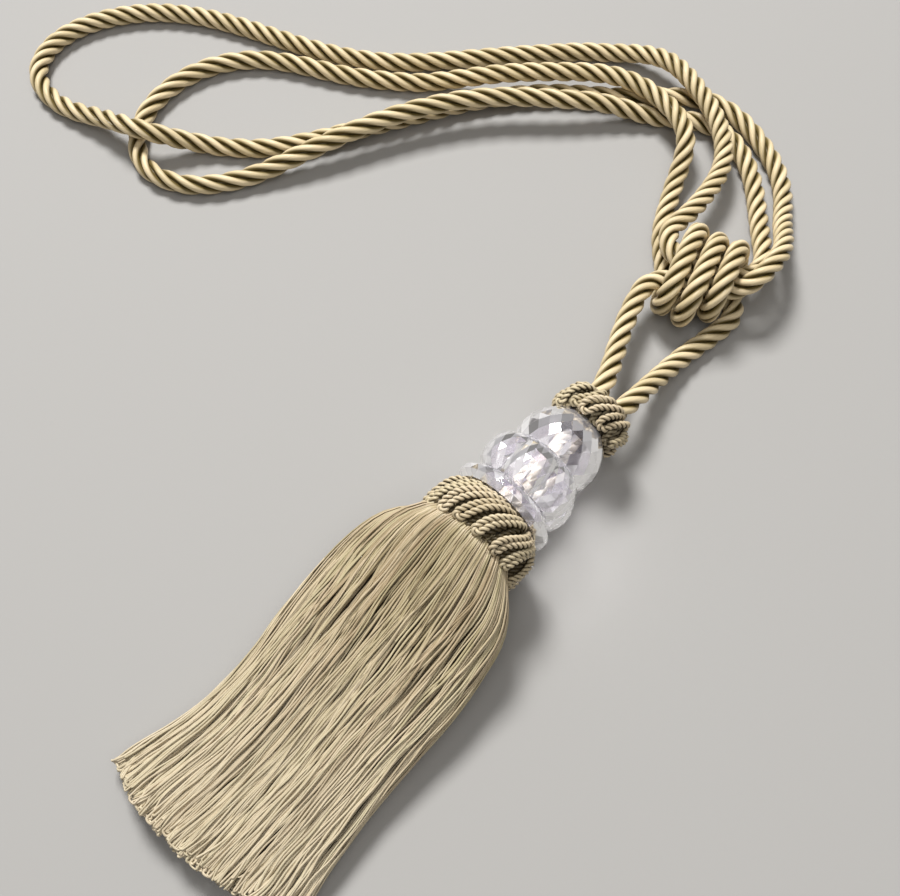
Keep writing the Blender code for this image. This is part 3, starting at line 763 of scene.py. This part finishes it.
def twisted(centres, outward, plies, ply_r, offset, pitch, sides, tone, painted_shade=0.0):
    """Twisted cord along many lines: each ply circles its line at the offset, once a pitch.

    A cord's first angle is 40 times its tone, so that no two start alike. A ply's foot, where
    its colour is painted in shade, looks in, mostly towards the middle of the piece.
    painted_shade darkens the whole cord as painted shade.
    """
    tangent = unit(np.gradient(centres, axis=1))
    first = unit(np.cross(tangent, outward))
    second = np.cross(tangent, first)
    walked = arc_lengths(centres)
    shells = []
    for ply in range(plies):
        turn = TAU * (walked / pitch + ply / plies) + 40.0 * tone[:, None]
        out = np.cos(turn)[..., None] * first + np.sin(turn)[..., None] * second
        line = centres + offset * out
        line[..., 2] = np.maximum(line[..., 2], ply_r)
        radii = np.full(line.shape[:2], ply_r)
        shells.append(tube_shells(line, radii, -(0.6 * out + unit(outward)), sides, tone, painted_shade))
    return shells


def cord_loops(profile, count, slant, rng, spread, lift, layer, painted_shade=0.0):
    """Cord looped over a ring's cross-section, count times round it.

    A loop starts at the far end of the profile, runs to its near end, turns back there in a
    half circle and returns beside itself. It leans round the axis by the slant on its way,
    more and more, and has a place, a lean, a lift, a reach and a slow sway of its own. spread
    is how far its place strays, in shares of the step to the next. layer is how far it lies
    in, and painted_shade how much painted shade darkens it.
    """
    rows = np.array(profile, dtype=float)
    knots = np.concatenate(([0.0], np.cumsum(np.hypot(*np.diff(rows, axis=0).T))))
    start = TAU * (np.arange(count) + rng.uniform(-spread, spread, count))[:, None] / count
    gap = CORD_GAP / 2 * (1.0 + 0.25 * rng.uniform(-1, 1, (count, 1)))
    ahead, behind, side = doubled(np.linspace(1.0, 0.0, CORD_LEG_POINTS, endpoint=False),
                                  CORD_BEND_POINTS)
    short = rng.uniform(0.0, CORD_SHORT, (count, 1))
    walked = short + gap * behind + ahead * (knots[-1] - gap - short)
    curve = natural_spline(knots, rows, walked.ravel()).reshape(*walked.shape, 2)
    share = walked / knots[-1]
    lean = slant + 0.16 * rng.uniform(-1, 1, (count, 1))
    lifted = lift * (rng.uniform(-1, 1, (count, 1)) + 0.5 * np.sin(TAU * share + 9 * start) * side)
    rate, phase = rng.uniform(0.6, 1.2, (count, 1)), rng.uniform(0, 1, (count, 1))
    sway = CORD_SWAY * np.sin(TAU * (share * rate + phase))
    turn = start + (side * gap + sway) / curve[..., 0] + lean * (share ** 1.5 - 0.4)
    centres = head_point(curve[..., 0] + lifted - layer, turn, curve[..., 1])
    hub = head_point(np.full_like(turn, 0.55 * rows[:, 0].max()), turn, rows[:, 1].mean())
    tone = rng.uniform(0.2, 1, count)
    return twisted(centres, unit(centres - hub), CORD_PLIES, CORD_PLY_R * MM, CORD_OFFSET * MM,
                   CORD_PITCH * MM, CORD_SIDES, tone, painted_shade)


def collar(cord, dark, rng):
    """The collar: a ring in painted shade under two layers of looped cord, the lower in painted shade
    too.

    Profiles are (radius, station) along the head's axis.
    """
    body = [(16.4, 0.6), (17.0, 0.4), (17.5, 1.8), (17.8, 4.6), (17.8, 7.8), (17.3, 10.8),
            (16.0, 13.2), (14.6, 14.0), (BORE_R, 14.0), (BORE_R, 12.0), (15.0, 12.0)]
    head_ring("collar_body", body, 96, dark, ("collar",))
    over = [(19.5, -1.4), (20.5, 0.5), (20.9, 3.1), (20.9, 6.9), (20.2, 10.6), (18.6, 13.6),
            (16.4, 15.0)]
    upper = cord_loops(over, 16, COLLAR_SLANT, rng, spread=0.16, lift=0.6, layer=0.0)
    mesh_piece("collar_cord", upper, cord)
    # The lower layer is in full painted shade.
    under = cord_loops(over, 18, COLLAR_SLANT, rng, spread=0.3, lift=0.3, layer=2.4, painted_shade=1.0)
    mesh_piece("collar_under", under, cord)


def rosette(cord, dark, rng):
    """The rosette: a ring in painted shade under loose loops of the same cord, profiles as above."""
    body = [(9.6, 61.9), (10.4, 62.8), (10.7, 65.3), (10.5, 68.2), (9.8, 70.0), (9.4, 70.4),
            (9.0, 70.3), (9.0, 68.5), (BORE_R, 68.5), (BORE_R, 61.9)]
    head_ring("rosette_body", body, 64, dark, ("rosette",))
    over = [(12.8, 60.8), (13.8, 62.9), (14.1, 65.6), (13.4, 69.0), (12.0, 71.6), (10.4, 72.0),
            (9.8, 70.4)]
    upper = cord_loops(over, 11, ROSETTE_SLANT, rng, spread=0.35, lift=1.1, layer=0.2)
    # The lower loops carry some painted shade, the upper ones none.
    under = cord_loops(over, 11, ROSETTE_UNDER_SLANT, rng, spread=0.3, lift=0.5, layer=2.2,
                       painted_shade=0.6)
    mesh_piece("rosette_loops", upper + under, cord)


def core(look):
    """The two rope ends inside the beads, side by side and twisted together once a CORE_PITCH."""
    stations = np.linspace(CORE_START, CORE_END, 180)
    turn = CORE_TURN + TAU * stations / CORE_PITCH + math.pi * np.arange(2)[:, None]
    lines = head_point(CORE_R - CORE_STRAND_R - CORE_OFFSET, turn, stations)
    axis = head_point(np.zeros_like(turn), turn, stations)
    shells = twisted(lines, unit(lines - axis), ROPE_STRANDS, CORE_STRAND_R * MM, CORE_OFFSET * MM,
                     CORE_LAY * MM, 8, np.array((0.3, 0.6)))
    return mesh_piece("core_strands", shells, look, ("core",))


def beads(look):
    """The three clear beads: a thin cut disc, a six-petalled flower and a barrel."""
    start, end = COLLAR_END + BEAD_GAP, BASE_END
    disc = [(17.3, start), (19.6, start + 2.0), (19.7, end - 2.9), (17.4, end - 0.7), (9.6, end)]
    cut_bead("disc_bead", disc, 30, look, ("bead_base",))

    start, end = BASE_END + BEAD_GAP, FLOWER_END
    middle, half = (start + end) / 2, (end - start) / 2
    lean = np.linspace(-math.pi / 2, math.pi / 2, 9)
    swell = np.maximum(np.cos(lean), 0.0) ** 0.8
    petals = np.stack((12.4 + 7.6 * swell, middle + half * np.sin(lean), 0.15 + 0.85 * swell), axis=-1)

    def petal_wave(turn, share):
        """The radius falls by a quarter between two petals, in a sharp notch."""
        return 1.0 - 0.25 * share * (1.0 - np.abs(np.cos(3.0 * (turn - math.pi / 6))) ** 0.75)

    cut_bead("flower_bead", petals, 48, look, ("bead_flower",), petal_wave)

    start, end = FLOWER_END + BEAD_GAP, TOP_END
    barrel = [(14.4, start), (15.8, start + 3.0), (16.3, start + 6.3), (16.2, start + 9.4),
              (15.2, start + 12.9), (13.2, start + 16.5), (10.8, end)]
    cut_bead("barrel_bead", barrel, 20, look, ("bead_top",))


# ---------------------------------------------------------------- skirt

def skirt_skin(rows, columns):
    """The skirt's outer skin as a grid from neck to hem, and its outward directions, in metres.

    Each section is a superellipse: each of cos and sin to the power 2 / squareness. Its
    points lie evenly along the outline, anticlockwise from its right end. Near the neck a
    section is turned square to the head's axis. From FLARE_Y on it is bent more and more,
    by HEM_CURVE with the square of its side and by HEM_TILT in line with it.
    """
    ys = np.linspace(SKIRT_SECTIONS[0, 0], SKIRT_SECTIONS[-1, 0], rows)
    table = natural_spline(-SKIRT_SECTIONS[:, 0], SKIRT_SECTIONS, -ys)
    values = dict(zip(SKIRT_COLUMNS, table.T[:, :, None]))
    half_h = (values["top"] - values["bottom"]) / 2
    power = 2.0 / values["square"]

    def outline(turn):
        """How far a section's outline lies to its side and above its middle, at a turn."""
        cosine, sine = np.cos(turn), np.sin(turn)
        return (values["half_w"] * np.sign(cosine) * np.abs(cosine) ** power,
                half_h * np.sign(sine) * np.abs(sine) ** power)

    fine = np.linspace(0.0, TAU, 2001)
    walked = arc_lengths(np.stack(outline(fine + np.zeros((rows, 1))), axis=-1))
    share = np.linspace(0.0, 1.0, columns)
    turn = np.stack([np.interp(share * row[-1], row, fine) for row in walked])
    side, rise = outline(turn)
    flare = np.clip((values["y"] - FLARE_Y) / (HEM_Y - FLARE_Y), 0.0, 1.0)
    y = values["y"] + flare * (HEM_CURVE * (side / HEM_HALF_W) ** 2 + HEM_TILT * side / HEM_HALF_W)
    y = y - values["to_head"] * math.tan(HEAD_TURN) * side
    y = y + values["to_head"] * math.tan(HEAD_DROOP) * rise
    middle = (values["top"] + values["bottom"]) / 2
    skin = np.stack((values["x"] + side, y, middle + rise), axis=-1) * MM
    down = np.gradient(skin, axis=0)
    round_it = np.gradient(skin, axis=1)
    round_it[:, (0, -1)] = (skin[:, 1] - skin[:, -2])[:, None]
    return skin, unit(np.cross(round_it, down))


def read_grid(grid, down, share):
    """Values between a grid's points, bilinear, at shares of the way down it and round it."""
    rows, columns = grid.shape[0], grid.shape[1] - 1
    row = np.clip(down * (rows - 1), 0.0, rows - 1.001)
    column = np.mod(share * columns, columns)
    r, c = row.astype(int), column.astype(int)
    fr, fc = (row - r)[..., None], (column - c)[..., None]
    upper = grid[r, c] * (1 - fc) + grid[r, c + 1] * fc
    lower = grid[r + 1, c] * (1 - fc) + grid[r + 1, c + 1] * fc
    return upper * (1 - fr) + lower * fr


def skirt_yarns(name, rng, skin, out, count, inset, over, painted_shade, look, replaces):
    """Doubled yarns that run down the skirt, turn back near the hem and run up again.

    count of them lie at a depth of inset mm under the skin, between two shares of the way
    round. Each has a place, a lean, a slow wave and an end of its own, and its two legs sway
    apart. The sines of CLUMPS shift neighbours alike, most in the upper half.
    painted_shade is how much painted shade darkens them, fading out towards their turn at the hem.
    """
    low, high = over
    home = low + (high - low) * (np.arange(count) + rng.uniform(-0.6, 0.6, count)) / count
    home = home[:, None]
    leg = np.linspace(0.0, 1.0, YARN_LEG_POINTS + 1)[:0:-1] ** 1.2
    above, behind, side = doubled(leg, YARN_BEND_POINTS)
    loop_r = YARN_LOOP_R * rng.uniform(0.7, 1.6, (count, 1))
    ragged = wavy(noise_waves(rng, 5, 20, 90), home * 6)
    short = np.clip(0.8 + rng.exponential(1.5, (count, 1)) + 1.4 * ragged, 0.2, 14.0)
    climbed = loop_r * behind + above * (SKIRT_LENGTH - 2.0 - short - loop_r)
    down = 1.0 - (short + climbed) / SKIRT_LENGTH

    loose = np.clip((down - 0.05) / 0.25, 0.0, 1.0)
    leg_share = (side + 1.0)[..., None] / 2
    own, split = rng.normal(0.0, 1.0, (2, count, 1, 4)), rng.normal(0.0, 1.0, (count, 1, 4))
    sway = 0.75 * own[0] + 0.6 * own[1] * leg_share + 0.2 * split * (1.0 - leg_share)
    lean = YARN_LEAN * sway[..., 0] * (down - 0.3)
    slow, phase = rng.uniform(0.6, 1.6, (count, 1)), rng.uniform(0, TAU, (count, 1))
    wave = SLOW_WAVE * sway[..., 1] * np.sin(TAU * down * slow + phase)
    quick = rng.uniform(4.0, 8.0, (count, 1))
    wave = wave + QUICK_WAVE * np.sin(TAU * down * quick + 4 * sway[..., 2])
    drawn = sum(share * np.sin(TAU * (about * home + along * down) + phase)
                for share, about, along, phase in CLUMPS) * (1.15 - down)
    place = home + (side * loop_r + loose * (lean + wave + drawn)) / HEM_ROUND
    rate = rng.uniform(1, 3, (count, 1))
    sunk = inset + 0.35 * sway[..., 2] + loose * DEPTH_WAVE * np.sin(TAU * down * rate + 5 * sway[..., 3])
    tip = np.clip((TIP_REACH - climbed) / TIP_REACH, 0.0, 1.0) ** 2
    sunk = sunk + tip * rng.uniform(-0.6, 0.9, (count, 1))
    place = place + tip * rng.normal(0.0, TIP_STRAY, (count, 1)) / HEM_ROUND
    outward = read_grid(out, down, place)
    line = read_grid(skin, down, place) - outward * sunk[..., None] * MM
    radius = YARN_R * rng.uniform(0.8, 1.2, (count, 1)) * MM
    line[..., 2] = np.maximum(line[..., 2], radius)
    radii = radius + np.zeros_like(down)
    own_tone = rng.uniform(0, 1, count)
    tone = np.clip(own_tone + 0.3 * wavy(noise_waves(rng, 4, 8, 40), home[:, 0] * 6), 0.0, 1.0)
    # Painted shade for the layer: none within 6 mm of the turn, full from 66 mm up.
    dark = painted_shade * np.clip((climbed - 6.0) / 60.0, 0.0, 1.0)
    shell = tube_shells(line, radii, -unit(outward), YARN_SIDES, tone, dark)
    return mesh_piece(name, [shell], look, replaces)


def skirt_heart(skin, out, look):
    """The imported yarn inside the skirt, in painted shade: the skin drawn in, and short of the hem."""
    rows = np.linspace(0, SKIN_ROWS * HEART_SHARE, HEART_ROWS).astype(int)
    columns = np.linspace(0, SKIN_COLUMNS - 1, HEART_COLUMNS + 1).astype(int)[:-1]
    points = skin[rows][:, columns] - out[rows][:, columns] * HEART_DEPTH * MM
    points[..., 2] = np.maximum(points[..., 2], 0.9 * MM)
    return mesh_piece("skirt_heart", [closed_grid(points[::-1], False)], look)


def skirt_fill(rng, skin, look):
    """Doubled yarns packed between the skirt's upper and lower sides, seen at the hem only.

    Each lies some way down the straight line from a point of the upper side to the point
    of the lower side under it. It runs from inside the heart to its own turned end.
    """
    count = FILL_COUNT
    leg = np.linspace(0.0, 1.0, FILL_LEG_POINTS + 1)[:0:-1]
    above, behind, side = doubled(leg, FILL_BEND_POINTS)
    loop_r = YARN_LOOP_R * rng.uniform(0.8, 1.8, (count, 1))
    climbed = loop_r * behind + above * FILL_REACH
    down = 1.0 - (rng.uniform(0.8, 5.0, (count, 1)) + climbed) / SKIRT_LENGTH
    turn = rng.uniform(0.02, 0.48, (count, 1)) + side * loop_r / HEM_ROUND
    level = rng.uniform(0.12, 0.88, (count, 1)) + 0.04 * side * rng.uniform(-1, 1, (count, 1))
    upper, lower = read_grid(skin, down, turn), read_grid(skin, down, 1.0 - turn)
    line = upper + (lower - upper) * level[..., None]
    radius = YARN_R * rng.uniform(0.9, 1.3, (count, 1)) * MM
    line[..., 2] = np.maximum(line[..., 2], radius)
    # Painted shade on each yarn's underside, and over all of it more and more from 3 mm above its turned
    # end, fully from 9 mm.
    inward = np.zeros_like(line) - UP
    tone = rng.uniform(0, 1, count)
    dark = np.clip((climbed - 3.0) / 6.0, 0.0, 1.0)
    shell = tube_shells(line, radius + np.zeros_like(down), inward, YARN_SIDES, tone, dark)
    return mesh_piece("skirt_fill", [shell], look)


def skirt(yarn, dark, rng):
    """The skirt: a packed heart, layers of doubled yarns over it, and more inside the hem."""
    skin, out = skirt_skin(SKIN_ROWS, SKIN_COLUMNS)
    skirt_heart(skin, out, dark)
    for name, count, inset, over, painted_shade, replaces in SKIRT_LAYERS:
        skirt_yarns(name, rng, skin, out, count, inset, over, painted_shade, yarn, replaces)
    skirt_fill(np.random.default_rng(SEED + 1), skin, yarn)


def build():
    """The whole scene, from the rope to the skirt."""
    rng = np.random.default_rng(SEED)
    camera()
    cord, yarn, dark = cord_yarn(), skirt_yarn(), painted_shade_yarn()
    rope(rope_yarn())
    studio()
    collar(cord, dark, rng)
    rosette(cord, dark, rng)
    core(core_yarn())
    beads(clear_bead())
    skirt(yarn, dark, rng)


build()
